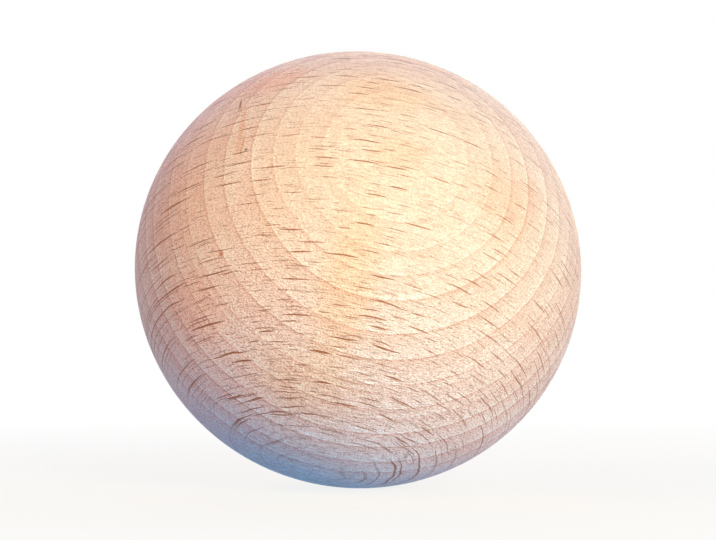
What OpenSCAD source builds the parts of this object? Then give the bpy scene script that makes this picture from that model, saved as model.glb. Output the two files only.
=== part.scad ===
/* [Ball] */
// Diameter that the ball was turned to, still measured along its grain
ball_d = 50; // [20:0.5:120]

/* [Seasoning] */
// Moisture lost since the ball was turned, in percent of its dry weight
moisture_lost = 6.7; // [0:0.1:15]
// Shrinkage along the growth rings for each percent of moisture lost, in percent
tangential_rate = 0.4; // [0:0.01:0.6]
// Shrinkage across the growth rings for each percent of moisture lost, in percent
radial_rate = 0.2; // [0:0.01:0.4]

/* [Lie of the wood] */
// Slope of the grain, down towards +X, in degrees
grain_fall = 12.3; // [-90:0.1:90]
// Swing of the grain about the vertical, its +X end away from the front, in degrees
grain_swing = 4.2; // [-90:0.1:90]
// Turn of the bark side about the grain, from straight up towards the front, in degrees
bark_tilt = 58; // [-180:1:180]

/* [Hidden] */
$fn = 120;
tangential_keep = 1 - moisture_lost * tangential_rate / 100;
radial_keep = 1 - moisture_lost * radial_rate / 100;

// The ball in the wood's own axes: X along the grain, Y along the growth rings
// and Z from the pith out to the bark. It left the lathe round. As it dried it
// kept its length along the grain and drew in across it, most along the rings.
module seasoned_ball() {
    scale([1, tangential_keep, radial_keep])
        sphere(d = ball_d);
}

// The ball as it lies, one solid piece of wood with no hole and no flat, its
// bark side turned to the front
module ball() {
    color("burlywood")
        rotate([bark_tilt, grain_fall, grain_swing])
            seasoned_ball();
}

ball();
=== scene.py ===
"""Looks of a plain beech ball, laid out as an add-on and run as a script."""

import math

import bpy
import numpy as np
from bpy.props import (
    FloatProperty,
    FloatVectorProperty,
    IntProperty,
    PointerProperty,
)
from bpy.types import Operator, Panel, PropertyGroup
from mathutils import Euler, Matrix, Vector


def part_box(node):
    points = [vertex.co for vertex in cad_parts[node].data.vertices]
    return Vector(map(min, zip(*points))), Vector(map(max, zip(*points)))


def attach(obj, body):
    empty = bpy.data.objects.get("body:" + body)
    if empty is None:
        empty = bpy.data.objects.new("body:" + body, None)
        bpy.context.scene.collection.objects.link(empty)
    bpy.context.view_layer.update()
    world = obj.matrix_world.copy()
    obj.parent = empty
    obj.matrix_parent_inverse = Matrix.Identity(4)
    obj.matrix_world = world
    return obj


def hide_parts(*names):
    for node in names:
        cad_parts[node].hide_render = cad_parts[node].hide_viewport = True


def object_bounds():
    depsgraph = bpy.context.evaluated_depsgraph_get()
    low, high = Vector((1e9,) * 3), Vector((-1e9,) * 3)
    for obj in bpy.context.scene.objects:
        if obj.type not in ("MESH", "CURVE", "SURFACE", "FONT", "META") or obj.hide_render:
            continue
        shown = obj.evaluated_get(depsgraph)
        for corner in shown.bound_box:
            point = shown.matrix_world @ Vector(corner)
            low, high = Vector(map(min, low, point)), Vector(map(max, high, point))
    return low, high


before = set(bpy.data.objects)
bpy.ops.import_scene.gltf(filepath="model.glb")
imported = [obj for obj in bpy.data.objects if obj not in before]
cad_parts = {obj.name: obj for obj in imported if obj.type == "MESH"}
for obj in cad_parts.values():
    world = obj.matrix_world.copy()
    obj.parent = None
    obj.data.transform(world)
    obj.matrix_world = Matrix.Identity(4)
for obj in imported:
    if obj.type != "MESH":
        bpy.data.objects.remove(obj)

bl_info = {
    "name": "Beech Ball",
    "version": (1, 0, 0),
    "blender": (4, 5, 0),
    "location": "View3D > Sidebar > Beech Ball",
    "description": "Makes a turned and sanded beech ball and the stage it is seen on",
    "category": "Object",
}

MM = 0.001
CAD_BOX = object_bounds()


def linear(hex_colour):
    """An sRGB hex colour as linear red, green and blue."""
    parts = [int(hex_colour[i:i + 2], 16) / 255 for i in (1, 3, 5)]
    return [c / 12.92 if c <= 0.04045 else ((c + 0.055) / 1.055) ** 2.4 for c in parts]


# ---------------------------------------------------------------- settings


class BeechBallShape(PropertyGroup):
    """How the ball lies in its wood, and how fine its mesh is"""

    grain_fall: FloatProperty(
        name="Grain fall",
        description="Slope of the grain, down towards +X",
        default=math.radians(12.3), subtype="ANGLE",
    )
    grain_swing: FloatProperty(
        name="Grain swing",
        description="Swing of the grain about the vertical",
        default=math.radians(4.2), subtype="ANGLE",
    )
    bark_tilt: FloatProperty(
        name="Bark tilt",
        description="Turn of the bark side about the grain, from straight up to the front",
        default=math.radians(58.0), subtype="ANGLE",
    )
    steps: IntProperty(
        name="Steps",
        description="Squares along each edge of the cube that is blown up into the ball",
        default=124, min=8, max=128,
    )
    relief: FloatProperty(
        name="Ring relief",
        description="How far sanding sinks the soft middle of each ring below its lines, in mm",
        default=0.004, min=0.0, max=0.1,
    )


class BeechBallWood(PropertyGroup):
    """The rings and rays of the wood, in mm, and its colours"""

    pith_distance: FloatProperty(
        name="Pith distance",
        description="From the tree's pith to the middle of the ball, in mm",
        default=165.0, min=30.0,
    )
    bark_cover: FloatProperty(
        name="Bark cover",
        description="Depth of the first ring line under the top of the ball's bark side, in mm",
        default=1.25, min=0.1,
    )
    ring_widths: FloatVectorProperty(
        name="Ring widths",
        description="Widths of the growth rings from the bark side inwards, in mm, which then repeat",
        default=(1.1, 1.15, 1.4, 2.2, 2.0, 2.35, 0.7, 1.95, 1.15, 2.1, 2.2, 2.95, 2.7, 2.3),
        size=14, min=0.2,
    )
    ring_strengths: FloatVectorProperty(
        name="Ring strengths",
        description="How plain the line and the tones of each ring are, from the bark side inwards",
        default=(0.4, 0.5, 0.7, 1.1, 1.1, 1.1, 1.1, 0.5, 1.5, 0.6, 1.7, 1.8, 1.8, 1.8),
        size=14, min=0.0, max=2.0,
    )
    ring_wander: FloatProperty(
        name="Ring wander",
        description="How far the rings wander from true circles, in mm",
        default=0.06, min=0.0,
    )
    ray_thickness: FloatProperty(
        name="Ray thickness",
        description="Thickness of the broadest wood rays, in mm",
        default=0.13, min=0.01,
    )
    pale: FloatVectorProperty(
        name="Pale wood", description="The wood's colour where it is palest along the grain",
        default=linear("#FDDBBE"), size=3, subtype="COLOR",
    )
    ruddy: FloatVectorProperty(
        name="Ruddy wood", description="The wood's colour where it is ruddiest along the grain",
        default=linear("#F8CBAC"), size=3, subtype="COLOR",
    )
    ray: FloatVectorProperty(
        name="Rays", description="What the darkest rays leave of the wood's colour",
        default=linear("#AC7238"), size=3, subtype="COLOR",
    )


class BeechBallStage(PropertyGroup):
    """The floor, the lamps and the camera"""

    camera_distance: FloatProperty(
        name="Camera distance", description="From the camera to the middle of the ball",
        default=0.300, unit="LENGTH",
    )
    ball_share: FloatProperty(
        name="Ball's share", description="The ball's width as a share of the picture's width",
        default=0.6236, min=0.05, max=1.0,
    )
    key_watts: FloatProperty(
        name="Key lamp", description="Power of the soft lamp in front, to the right",
        default=2.95, unit="POWER",
    )
    fill_watts: FloatProperty(
        name="Fill lamp", description="Power of the weak warm lamp on the left",
        default=0.92, unit="POWER",
    )
    top_watts: FloatProperty(
        name="Top lamp", description="Power of the large soft lamp above and behind",
        default=5.0, unit="POWER",
    )
    back_watts: FloatProperty(
        name="Back lamp", description="Power of the warm lamp behind, which does not reach the front",
        default=2.2, unit="POWER",
    )
    sky: FloatVectorProperty(
        name="Surroundings", description="Light from all round, cool",
        default=linear("#181824"), size=3, subtype="COLOR",
    )
    floor: FloatVectorProperty(
        name="Floor", description="The light that the lit floor gives back to the ball",
        default=linear("#ABB1EA"), size=3, subtype="COLOR",
    )
    shade: FloatVectorProperty(
        name="Shaded floor", description="The cooler light of the floor in the ball's own shade",
        default=linear("#3E9BF3"), size=3, subtype="COLOR",
    )


# ---------------------------------------------------------------- the ball


def wood_axes(shape):
    """3 x 3 matrix whose columns are the grain, the way along the rings and the way to the bark."""
    turn = Euler((shape.bark_tilt, shape.grain_fall, shape.grain_swing), "XYZ")
    return np.array(turn.to_matrix())


def half_axes(box, axes):
    """Half lengths, in metres, of the ellipsoid with these axes that just fills the box. Its half
    width along a frame axis, squared, is the sum of each half length squared times the square of
    that axis's share in the frame axis."""
    half_box = (np.array(box[1]) - np.array(box[0])) / 2
    return np.sqrt(np.linalg.solve(axes ** 2, half_box ** 2))


def blown_cube(steps):
    """Unit vectors, quads and UV corners of a cube blown up into a sphere. Each side is a grid of
    equal angles: its point is the side's outward axis plus the tangents of both angles along the
    side's own two axes, brought to length one. Equal points of neighbouring sides are merged, and
    in the UV map the sides lie three by two with a gap between them."""
    angle = np.linspace(-1, 1, steps + 1) * math.pi / 4
    u, v = np.meshgrid(np.tan(angle), np.tan(angle), indexing="ij")
    gap = 0.012
    inset = np.linspace(gap, 1 - gap, steps + 1)
    i, j = np.meshgrid(inset, inset, indexing="ij")
    points, quads, corners = [], [], []
    row = np.arange(steps)
    first = (row[:, None] * (steps + 1) + row).ravel()
    square = np.stack([first, first + steps + 1, first + steps + 2, first + 1], axis=1)
    for side in range(6):
        out = np.roll([1.0, 0.0, 0.0], side % 3)
        along, across = np.roll(out, 1), np.roll(out, 2)
        if side >= 3:
            out, along, across = -out, across, along
        quads.append(square + side * u.size)
        points.append((out + u[..., None] * along + v[..., None] * across).reshape(-1, 3))
        corners.append(np.stack([(i + side % 3) / 3, (j + side // 3) / 2], axis=-1).reshape(-1, 2))
    points, quads, corners = np.concatenate(points), np.concatenate(quads), np.concatenate(corners)
    points /= np.linalg.norm(points, axis=1, keepdims=True)
    rounded = np.round(points, 7)
    _, kept, number = np.unique(rounded, axis=0, return_index=True, return_inverse=True)
    return points[kept], number.ravel()[quads], corners[quads]


def ring_count(wood_mm, wood, top):
    """Number of growth rings between the bark side and each point, the ring's width there and how
    plain its line is. The depth is the top's height less the distance from the pith's axis, with a
    slow wander made of a few long waves, and the rings' added widths turn it into a count."""
    _, y, z = wood_mm.T
    # The waves are a few times these lengths long, in mm along the three axes of the wood
    waves = 6
    wave_reach = np.array([9.0, 5.0, 7.0])
    rng = np.random.default_rng(3)
    wave = rng.normal(size=(waves, 3)) / wave_reach
    start = rng.uniform(0, 2 * math.pi, waves)
    wander = np.sin(wood_mm @ wave.T + start).sum(axis=1) / math.sqrt(3)
    radius = np.hypot(y, z + wood.pith_distance) - wood.pith_distance
    depth = top - radius + wood.ring_wander * wander
    # Enough rings to reach through the ball
    rings = 36
    widths = np.resize(np.array(wood.ring_widths), rings)
    edges = wood.bark_cover + np.concatenate([[0.0], np.cumsum(widths)])
    number = np.arange(len(edges))
    # The wood outside the first line is the inner half of a ring twice as wide as the bark cover
    outside = np.minimum(depth - edges[0], 0) / (2 * wood.bark_cover)
    count = np.interp(depth, edges, number) + outside
    middles = (edges[1:] + edges[:-1]) / 2
    strength = np.interp(count, number, np.resize(np.array(wood.ring_strengths), len(number)))
    return np.stack([count, np.interp(depth, middles, widths), strength], axis=1)


def turned_ball(shape, wood):
    """The ball's mesh, its place in its vertices. Points of a blown-up cube times the half
    lengths lie on the ellipsoid, and each is sunk along its normal by a share of the relief:
    half of one minus the cosine of the ring count, which is none at the ring lines."""
    axes = wood_axes(shape)
    low, high = np.array(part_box("ball"))
    half = half_axes((low, high), axes)
    unit, quads, corners = blown_cube(shape.steps)
    normal = unit / half
    normal /= np.linalg.norm(normal, axis=1, keepdims=True)
    points = unit * half
    growth = ring_count(points / MM, wood, half[2] / MM)
    soft = 0.5 - 0.5 * np.cos(2 * math.pi * growth[:, 0])
    points -= normal * (shape.relief * MM * soft)[:, None]
    mesh = bpy.data.meshes.new("beech_ball")
    mesh.vertices.add(len(points))
    mesh.vertices.foreach_set("co", (points @ axes.T + (low + high) / 2).ravel())
    mesh.loops.add(quads.size)
    mesh.loops.foreach_set("vertex_index", quads.ravel())
    mesh.polygons.add(len(quads))
    mesh.polygons.foreach_set("loop_start", np.arange(0, quads.size, 4))
    mesh.update(calc_edges=True)
    mesh.polygons.foreach_set("use_smooth", np.ones(len(quads), bool))
    mesh.attributes.new("growth", "FLOAT_VECTOR", "POINT").data.foreach_set("vector", growth.ravel())
    mesh.uv_layers.new(name="OFBake").uv.foreach_set("vector", corners.ravel())
    mesh.validate()
    return mesh


# ---------------------------------------------------------------- materials


def add(tree, kind, inputs=(), output=0, **settings):
    """Adds a node with its settings, gives its inputs, in order or by name, their values or links,
    and returns an output."""
    node = tree.nodes.new("ShaderNode" + kind)
    for name, value in settings.items():
        setattr(node, name, value)
    for socket, value in inputs.items() if isinstance(inputs, dict) else enumerate(inputs):
        if isinstance(value, bpy.types.NodeSocket):
            tree.links.new(value, node.inputs[socket])
        else:
            node.inputs[socket].default_value = value
    return node.outputs[output] if node.outputs else node


def new_material(name):
    """An empty node material and its tree."""
    material = bpy.data.materials.new(name)
    material.use_nodes = True
    material.node_tree.nodes.clear()
    return material, material.node_tree


# Rows of rays: pitch and reach in mm, share of the full thickness, seed and strength
RAY_ROWS = (
    (1.0, 4.2, 1.0, 3.3, 1.0),
    (0.75, 3.0, 0.7, 41.7, 0.85),
    (0.35, 2.2, 0.42, 77.1, 0.7),
)

# Rows of long rays: pitch, reach, share and seed
LONG_RAYS = (0.5, 4.6, 0.85, 12.9)

# A patch where the rays are faint: middle and half lengths in wood mm
FAINT_PATCH = ((-10.0, -22.0, -7.0), (18.0, 12.0, 8.0))

# Painted shade, then tints and marks of this piece of wood: middle and half lengths in wood mm,
# and what is left of the colour. The first row is a broad cool tint that paints shade on the
# ball's left flank and back, on the side away from the key lamp
SPOTS_AND_PAINTED_SHADE = (
    # Painted cool shade on the left flank and the back
    ((-20.2, 1.7, -14.9), (30.0, 30.0, 30.0), "#D8EDF6"),
    ((-17.0, -15.0, 9.0), (7.0, 6.0, 6.0), "#FFF0E8"),
    ((-20.0, -4.0, 12.0), (8.0, 12.0, 10.0), "#FFF6F0"),
    ((-14.0, 10.0, 17.0), (6.0, 4.0, 5.0), "#FFEADF"),
    ((-2.5, -14.0, 18.0), (4.5, 14.0, 12.0), "#FFF6E6"),
    ((-4.5, -21.5, 9.5), (9.0, 6.0, 7.0), "#FFF5E6"),
    ((-3.0, 8.0, 23.0), (8.0, 5.0, 5.0), "#FFF7EA"),
    ((0.0, -0.6, 24.7), (3.5, 3.0, 4.0), "#FFF8F0"),
    ((12.5, -1.5, 20.0), (6.0, 9.0, 8.0), "#FFF4EE"),
    ((-17.0, 6.7, 16.8), (0.16, 1.7, 1.4), "#B07A62"),
    ((-16.4, 2.5, 18.3), (0.4, 6.5, 3.0), "#F8E2D0"),
    ((-16.0, 0.0, 19.0), (0.14, 2.0, 1.0), "#E8BE9E"),
    ((-15.5, -0.7, 19.3), (0.25, 0.25, 0.3), "#8E6A5C"),
    ((-15.8, -11.5, 15.2), (0.4, 0.6, 0.5), "#DDA894"),
    ((8.3, -22.9, 1.2), (0.45, 0.6, 1.2), "#D8CDC4"),
)

# Places between which the rays change, in mm to either side of the middle: they get thinner,
# they fade because only their edges are met, and long ones appear
THINNER = (20.0, 24.3)
EDGE_ON = (23.2, 24.2)
SLANT = (20.5, 22.5)

# Distances in mm from the ball's middle towards the bark where the wood starts to be older,
# and where it is oldest
OLDER = (22.0, 8.0)

# Share of a change of tone that red, green and blue take, in the rings and in the grit
RING_TINT = (0.5, 1.1, 1.35)
GRIT_TINT = (0.75, 1.0, 1.25)

# Waves to the mm along the grain, along the rings and towards the bark
SWERVE_WAVES = (0.25, 0.5, 0.25)
CLOUD_WAVES = (0.05, 0.16, 0.16)
FIBRE_WAVES = (0.8, 6.5, 6.5)
PORE_WAVES = (5.0, 7.0, 7.0)
BAND_WAVES = 3.5

WHITE = (1.0, 1.0, 1.0)


def ray_rows(tree, along, around, older, thickness, pitch, reach, share, seed):
    """Share of wood ray at a place. Rays stand in rows, one above the other along the grain: a row
    is one pitch of the way round the pith, and each ray has one reach of it to itself, in which
    chance numbers give its length, its place and its strength. It is a spindle, whose thickness
    falls from its middle with the square of the way to its tip, and is the given share of the
    thickness at most. More rays are strong in older wood."""
    lane = add(tree, "Math", (around, 1 / pitch, seed), operation="MULTIPLY_ADD")
    row = add(tree, "Math", (lane,), operation="FLOOR")
    chance = add(tree, "TexWhiteNoise", {"W": row}, noise_dimensions="1D")
    # Each row starts somewhere else along the grain, by up to so many reaches
    furthest = 9.3
    start = add(tree, "Math", (chance, furthest), operation="MULTIPLY")
    step = add(tree, "Math", (along, 1 / reach, start), operation="MULTIPLY_ADD")
    cell = add(tree, "Math", (step,), operation="FLOOR")
    cell = add(tree, "CombineXYZ", (row, cell))
    cell = add(tree, "TexWhiteNoise", {"Vector": cell}, output="Color", noise_dimensions="2D")
    size, shift, force = add(tree, "SeparateXYZ", (cell,)).node.outputs
    # Half lengths are shares of the reach, and a middle is where both tips fit in
    shortest, longer = 0.2, 0.26
    half = add(tree, "Math", (size, longer, shortest), operation="MULTIPLY_ADD")
    room = add(tree, "Math", (half, -2.0, 1.0), operation="MULTIPLY_ADD")
    middle = add(tree, "Math", (shift, room, half), operation="MULTIPLY_ADD")
    away = add(tree, "Math", (step,), operation="FRACT")
    away = add(tree, "Math", (away, middle), operation="SUBTRACT")
    away = add(tree, "Math", (away, half), operation="DIVIDE")
    square = add(tree, "Math", (away, away), operation="MULTIPLY")
    spindle = add(tree, "Math", (1.0, square), operation="SUBTRACT")
    # Across its lane, each row has a place of its own and each ray lies a little beside it
    nearest, further, beside = 0.24, 0.4, 0.12
    across = add(tree, "Math", (chance, further, nearest), operation="MULTIPLY_ADD")
    across = add(tree, "Math", (shift, beside, across), operation="MULTIPLY_ADD")
    off = add(tree, "Math", (lane,), operation="FRACT")
    off = add(tree, "Math", (off, across), operation="SUBTRACT")
    off = add(tree, "Math", (off,), operation="ABSOLUTE")
    thick = add(tree, "Math", (spindle, thickness), operation="MULTIPLY")
    thick = add(tree, "Math", (thick, share / 2), operation="MULTIPLY")
    # The edge is soft over this many mm on either side
    soft = 0.012
    edge = add(tree, "Math", (off, -pitch, thick), operation="MULTIPLY_ADD")
    mask = add(tree, "MapRange", (edge, -soft, soft), interpolation_type="SMOOTHSTEP")
    # Rays of little force don't show, and older wood gives each one more
    more, too_little, plain = 0.3, 0.42, 0.75
    force = add(tree, "Math", (older, more, force), operation="MULTIPLY_ADD")
    force = add(tree, "MapRange", (force, too_little, plain))
    return add(tree, "Math", (mask, force), operation="MULTIPLY")


def share_of_way_out(tree, place, patch_middle, half_lengths):
    """0 in the middle of a round or oval patch and 1 on its edge."""
    away = add(tree, "VectorMath", (place, patch_middle), operation="SUBTRACT")
    away = add(tree, "VectorMath", (away, half_lengths), operation="DIVIDE")
    return add(tree, "VectorMath", (away,), output="Value", operation="LENGTH")


def all_rays(tree, wood, place, around, older):
    """How plainly wood ray shows at a place, from 0 to 1: the plainest of all the rows there. The
    rays are fewer and fainter in younger wood, towards one end of the grain, and in one patch."""
    along, side, _ = add(tree, "SeparateXYZ", (place,)).node.outputs
    # Near both ends of the way along the rings, the surface meets only their thin edges
    reached = add(tree, "Math", (side,), operation="ABSOLUTE")
    full, thinnest, edge_share = wood.ray_thickness, 0.45, 0.3
    thick = add(tree, "MapRange", (reached, *THINNER, full, full * thinnest))
    edge_on = add(tree, "MapRange", (reached, *EDGE_ON, 1.0, edge_share))
    # Long ones show where it runs through them at a slant
    slant = add(tree, "MapRange", (reached, *SLANT))
    rays = ray_rows(tree, along, around, older, thick, *LONG_RAYS)
    rays = add(tree, "Math", (rays, slant), operation="MULTIPLY")
    for pitch, reach, share, seed, strength in RAY_ROWS:
        more = ray_rows(tree, along, around, older, thick, pitch, reach, share, seed)
        more = add(tree, "Math", (more, strength), operation="MULTIPLY")
        rays = add(tree, "Math", (more, rays), operation="MAXIMUM")
    young_share, end_share, patch_share = 0.9, 0.72, 0.25
    end_reach, patch_core = 15.0, 0.5
    younger = add(tree, "MapRange", (older, 0.0, 1.0, young_share, 1.0))
    one_end = add(tree, "MapRange", (along, 0.0, end_reach, 1.0, end_share))
    patch = share_of_way_out(tree, place, *FAINT_PATCH)
    patch = add(tree, "MapRange", (patch, patch_core, 1.0, patch_share, 1.0),
                interpolation_type="SMOOTHSTEP")
    for fading in (younger, edge_on, one_end, patch):
        rays = add(tree, "Math", (rays, fading), operation="MULTIPLY")
    return rays


def ring_tones(tree, side, out):
    """How much the growth rings lighten or darken the wood, and how near a place is to the thin
    line of a ring. Each ring is darkest in that line, at its bark side, and grows paler to the
    next ring."""
    growth = add(tree, "Attribute", output="Vector", attribute_name="growth")
    count, width, strength = add(tree, "SeparateXYZ", (growth,)).node.outputs
    part = add(tree, "Math", (count,), operation="FRACT")
    inner = add(tree, "Math", (part, width), operation="MULTIPLY")
    outer = add(tree, "Math", (width, inner), operation="SUBTRACT")
    # Where the line begins to fade and where it ends, and how far the pale rim reaches, in mm
    fades, ends, rim = 0.06, 0.24, 0.4
    line = add(tree, "MapRange", (inner, fades, ends, 1.0, 0.0), interpolation_type="SMOOTHSTEP")
    line_tone, rim_tone, first_tone, last_tone = -0.12, 0.03, -0.075, 0.085
    edge = add(tree, "MapRange", (outer, 0.0, rim, rim_tone, 0.0))
    tone = add(tree, "MapRange", (part, 0.0, 1.0, first_tone, last_tone))
    tone = add(tree, "Math", (line, line_tone, tone), operation="MULTIPLY_ADD")
    tone = add(tree, "Math", (tone, edge), operation="ADD")
    tone = add(tree, "Math", (tone, strength), operation="MULTIPLY")
    # Finer bands within the rings
    band_tone = 0.025
    deep = add(tree, "CombineXYZ", (0.0, side, out))
    deep = add(tree, "VectorMath", (deep,), output="Value", operation="LENGTH")
    deep = add(tree, "Math", (deep, BAND_WAVES), operation="MULTIPLY")
    band = add(tree, "TexNoise", {"W": deep, "Scale": 1.0, "Detail": 1.0}, noise_dimensions="1D")
    band = add(tree, "MapRange", (band, 0.25, 0.75, -band_tone, band_tone))
    return add(tree, "Math", (tone, band), operation="ADD"), line


def sanded_beech(shape, wood):
    """Bare European beech, turned, sanded fine across its grain and left without a finish."""
    material, tree = new_material("sanded_beech")
    turn = (shape.bark_tilt, shape.grain_fall, shape.grain_swing)
    place = add(tree, "TexCoord", output="Object")
    place = add(tree, "Mapping", {"Vector": place, "Rotation": turn, "Scale": (MM, MM, MM)},
                vector_type="TEXTURE")
    _, side, up = add(tree, "SeparateXYZ", (place,)).node.outputs
    out = add(tree, "Math", (up, wood.pith_distance), operation="ADD")
    around = add(tree, "Math", (side, out), operation="ARCTAN2")
    # Rays swerve by up to so many mm round the vessels between them
    widest = 0.4
    swerve = add(tree, "VectorMath", (place, SWERVE_WAVES), operation="MULTIPLY")
    swerve = add(tree, "TexNoise", {"Vector": swerve, "Scale": 1.0})
    swerve = add(tree, "Math", (swerve, widest), operation="MULTIPLY")
    around = add(tree, "Math", (around, wood.pith_distance, swerve), operation="MULTIPLY_ADD")
    # From 0 in the outermost wood to 1 in the wood nearer the pith
    older = add(tree, "MapRange", (up, *OLDER))
    rays = all_rays(tree, wood, place, around, older)
    tone, line = ring_tones(tree, side, out)

    # Slow change of tone along the grain. Noise lies mostly between 0.2 and 0.8
    cloud = add(tree, "VectorMath", (place, CLOUD_WAVES), operation="MULTIPLY")
    cloud = add(tree, "TexNoise", {"Vector": cloud, "Scale": 1.0, "Detail": 3.0})
    cloud = add(tree, "MapRange", (cloud, 0.3, 0.75))
    base = add(tree, "Mix", {0: cloud, 6: (*wood.ruddy, 1), 7: (*wood.pale, 1)}, output=2,
               data_type="RGBA")
    core = 0.2
    # The first of these paints shade on the left flank and the back; the rest are the wood's own tints
    # and marks
    for middle, half, left in SPOTS_AND_PAINTED_SHADE:
        share = share_of_way_out(tree, place, middle, half)
        share = add(tree, "MapRange", (share, core, 1.0, 1.0, 0.0), interpolation_type="SMOOTHSTEP")
        base = add(tree, "Mix", {0: share, 6: base, 7: (*linear(left), 1)}, output=2,
                   data_type="RGBA", blend_type="MULTIPLY")
    # A darker tone is also a redder one
    tint = add(tree, "CombineXYZ", (tone, tone, tone))
    tint = add(tree, "VectorMath", (tint, RING_TINT, WHITE), operation="MULTIPLY_ADD")
    base = add(tree, "VectorMath", (base, tint), operation="MULTIPLY")
    base = add(tree, "Mix", {0: rays, 6: base, 7: (*wood.ray, 1)}, output=2, data_type="RGBA",
               blend_type="MULTIPLY")

    # Fibres, and vessels 0.06 mm across, drawn at 0.2 mm because finer would not show
    fibres = add(tree, "VectorMath", (place, FIBRE_WAVES), operation="MULTIPLY")
    fibres = add(tree, "TexNoise", {"Vector": fibres, "Scale": 1.0, "Detail": 0.0})
    pores = add(tree, "VectorMath", (place, PORE_WAVES), operation="MULTIPLY")
    pores = add(tree, "TexNoise", {"Vector": pores, "Scale": 1.0, "Detail": 1.0})
    pore_share = 0.65
    grit = add(tree, "Mix", {0: pore_share, 2: fibres, 3: pores}, data_type="FLOAT")
    # They show more plainly in the older wood
    young, old, grit_tone = 1.0, 1.7, 0.42
    plainer = add(tree, "MapRange", (older, 0.0, 1.0, young, old))
    speck = add(tree, "MapRange", (grit, 0.2, 0.8, -grit_tone, grit_tone))
    speck = add(tree, "Math", (speck, plainer), operation="MULTIPLY")
    speck = add(tree, "CombineXYZ", (speck, speck, speck))
    speck = add(tree, "VectorMath", (speck, GRIT_TINT, WHITE), operation="MULTIPLY_ADD")
    base = add(tree, "VectorMath", (base, speck), operation="MULTIPLY")

    # Heights in mm: the grit stands up, and the rays and the ring lines lie a little deeper
    ray_height, grit_height, line_height = -0.01, 0.25, -0.006
    height = add(tree, "Math", (rays, ray_height), operation="MULTIPLY")
    height = add(tree, "Math", (grit, grit_height, height), operation="MULTIPLY_ADD")
    height = add(tree, "Math", (line, line_height, height), operation="MULTIPLY_ADD")
    bump = add(tree, "Bump", {"Height": height, "Distance": MM})
    smoothest, roughest = 0.54, 0.66
    rough = add(tree, "MapRange", (grit, 0.3, 0.7, smoothest, roughest))
    shader = add(tree, "BsdfPrincipled", {
        "Base Color": base, "Roughness": rough, "IOR": 1.5, "Normal": bump})
    add(tree, "OutputMaterial", {"Surface": shader})
    return material


def shown(tree):
    """1 where the background itself is looked at, straight or in a gloss or through glass, and 0
    where it only lights the ball."""
    path = add(tree, "LightPath").node.outputs
    straight = add(tree, "Math", (path["Is Camera Ray"], path["Is Glossy Ray"]), operation="MAXIMUM")
    return add(tree, "Math", (straight, path["Is Transmission Ray"]), operation="MAXIMUM")


# Distances in metres from the ball's middle at which its shadow starts to fade, and is gone
SHADOW_FADE = (0.04, 0.14)
# Share of plain white light in the floor at each of them
SHADOW_WHITE = (0.84, 1.0)
# Point over the middle of the floor's shaded patch, at the height of the ball's middle, and
# distances from it at which the shade starts to fade and ends, in metres
SHADE_MIDDLE = (-0.012, 0.004, 0.0)
SHADE_FADE = (0.025, 0.045)


def pale_floor(stage):
    """Matt white paper. Looked at, it is white but for the ball's shadow, which fades out away
    from the ball. To the ball it is the cool light that it gives back, coldest in the ball's own
    shade, on the side away from the key lamp."""
    material, tree = new_material("matt_paper")
    seen = shown(tree)
    place = add(tree, "TexCoord", output="Object")
    away = add(tree, "VectorMath", (place,), output="Value", operation="LENGTH")
    white = add(tree, "MapRange", (away, *SHADOW_FADE, *SHADOW_WHITE))
    matt = add(tree, "BsdfDiffuse", {"Color": (*linear("#F3E1BC"), 1)})
    plain = add(tree, "Emission", {"Color": (*WHITE, 1), "Strength": 1.0})
    paper = add(tree, "MixShader", (white, matt, plain))
    shade = add(tree, "VectorMath", (place, SHADE_MIDDLE), operation="SUBTRACT")
    shade = add(tree, "VectorMath", (shade,), output="Value", operation="LENGTH")
    lit = add(tree, "MapRange", (shade, *SHADE_FADE), interpolation_type="SMOOTHSTEP")
    given = add(tree, "Mix", {0: lit, 6: (*stage.shade, 1), 7: (*stage.floor, 1)}, output=2,
                data_type="RGBA")
    given = add(tree, "Emission", {"Color": given, "Strength": 1.0})
    add(tree, "OutputMaterial", {"Surface": add(tree, "MixShader", (seen, given, paper))})
    return material


# ---------------------------------------------------------------- operators


class BEECH_OT_ball(Operator):
    """Makes the ball: its mesh and its wood"""

    bl_idname = "beech.ball"
    bl_label = "Turned Ball"

    def execute(self, context):
        scene = context.scene
        ball = bpy.data.objects.new("beech_ball", turned_ball(scene.beech_shape, scene.beech_wood))
        scene.collection.objects.link(ball)
        ball.data.materials.append(sanded_beech(scene.beech_shape, scene.beech_wood))
        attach(ball, "root")
        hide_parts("ball")
        return {"FINISHED"}


# Lamps: name, degrees to the right of the camera and up, diameter in metres, and colour
LAMPS = (
    ("key", 28, 14, 0.25, "#F4FFEB"),
    ("fill", -66, 32, 0.3, "#FFD696"),
    ("top", 175, 45, 1.2, "#90AFFF"),
    ("back", 176, 5, 0.3, "#FFE060"),
)
LAMP_DISTANCE = 0.5
FLOOR_REACH = 2.0


def direction(azimuth, elevation):
    """Unit vector at these degrees to the right of the camera and up."""
    a, e = math.radians(azimuth), math.radians(elevation)
    return Vector((math.sin(a) * math.cos(e), -math.cos(a) * math.cos(e), math.sin(e)))


def soft_lamp(scene, name, azimuth, elevation, diameter, watts, colour):
    """A round area lamp at the lamp distance from the ball, aimed at it."""
    lamp = bpy.data.lights.new(name, "AREA")
    lamp.shape = "DISK"
    lamp.size = diameter
    lamp.energy = watts
    lamp.color = linear(colour)
    obj = bpy.data.objects.new(name, lamp)
    scene.collection.objects.link(obj)
    obj.location = direction(azimuth, elevation) * LAMP_DISTANCE
    obj.rotation_euler = (-obj.location).to_track_quat("-Z", "Y").to_euler()


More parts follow.
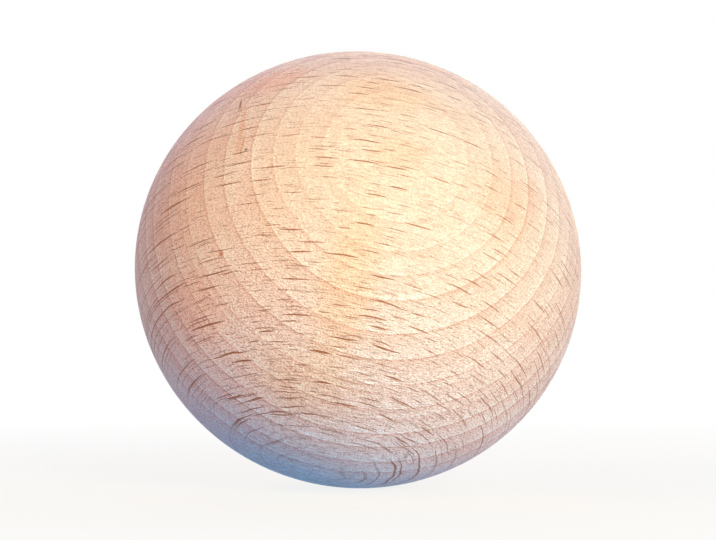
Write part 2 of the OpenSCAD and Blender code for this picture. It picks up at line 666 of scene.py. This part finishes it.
class BEECH_OT_stage(Operator):
    """Makes the floor, the surroundings, the lamps and the camera"""

    bl_idname = "beech.stage"
    bl_label = "Stage"

    def execute(self, context):
        scene = context.scene
        stage = scene.beech_stage
        low, high = CAD_BOX

        camera = bpy.data.objects.new("camera", bpy.data.cameras.new("camera"))
        scene.collection.objects.link(camera)
        camera.location = (0, -stage.camera_distance, 0)
        camera.rotation_euler = (math.pi / 2, 0, 0)
        # The ball's edge is seen at the angle whose sine is its radius over the distance
        half_width = (high[0] - low[0]) / 2
        edge = half_width / math.sqrt(stage.camera_distance ** 2 - half_width ** 2)
        camera.data.lens = camera.data.sensor_width * stage.ball_share / 2 / edge
        camera.data.clip_start = 0.01
        scene.camera = camera

        reach, z = FLOOR_REACH, low[2]
        corners = [(-reach, -reach, z), (reach, -reach, z), (reach, reach, z), (-reach, reach, z)]
        mesh = bpy.data.meshes.new("floor")
        mesh.from_pydata(corners, [], [(0, 1, 2, 3)])
        mesh.materials.append(pale_floor(stage))
        floor = bpy.data.objects.new("floor", mesh)
        scene.collection.objects.link(floor)

        world = bpy.data.worlds.new("studio")
        world.use_nodes = True
        tree = world.node_tree
        tree.nodes.clear()
        colour = add(tree, "Mix", {0: shown(tree), 6: (*stage.sky, 1), 7: (*WHITE, 1)}, output=2,
                     data_type="RGBA")
        background = add(tree, "Background", {"Color": colour, "Strength": 1.0})
        add(tree, "OutputWorld", {"Surface": background})
        scene.world = world

        for name, azimuth, elevation, diameter, colour in LAMPS:
            watts = getattr(stage, name + "_watts")
            soft_lamp(scene, name + "_lamp", azimuth, elevation, diameter, watts, colour)
        scene.view_settings.view_transform = "Standard"
        return {"FINISHED"}


class BEECH_PT_panel(Panel):
    """Lists the ball's operators and settings"""

    bl_label = "Beech Ball"
    bl_space_type = "VIEW_3D"
    bl_region_type = "UI"
    bl_category = "Beech Ball"

    def draw(self, context):
        self.layout.operator("beech.ball")
        self.layout.operator("beech.stage")
        for settings in (context.scene.beech_shape, context.scene.beech_wood, context.scene.beech_stage):
            box = self.layout.box()
            for name in type(settings).__annotations__:
                box.prop(settings, name)


CLASSES = (BeechBallShape, BeechBallWood, BeechBallStage, BEECH_OT_ball, BEECH_OT_stage, BEECH_PT_panel)


def register():
    for cls in CLASSES:
        bpy.utils.register_class(cls)
    bpy.types.Scene.beech_shape = PointerProperty(type=BeechBallShape)
    bpy.types.Scene.beech_wood = PointerProperty(type=BeechBallWood)
    bpy.types.Scene.beech_stage = PointerProperty(type=BeechBallStage)


def unregister():
    del bpy.types.Scene.beech_stage
    del bpy.types.Scene.beech_wood
    del bpy.types.Scene.beech_shape
    for cls in reversed(CLASSES):
        bpy.utils.unregister_class(cls)


def main():
    register()
    bpy.ops.beech.stage()
    bpy.ops.beech.ball()


if __name__ == "__main__":
    main()
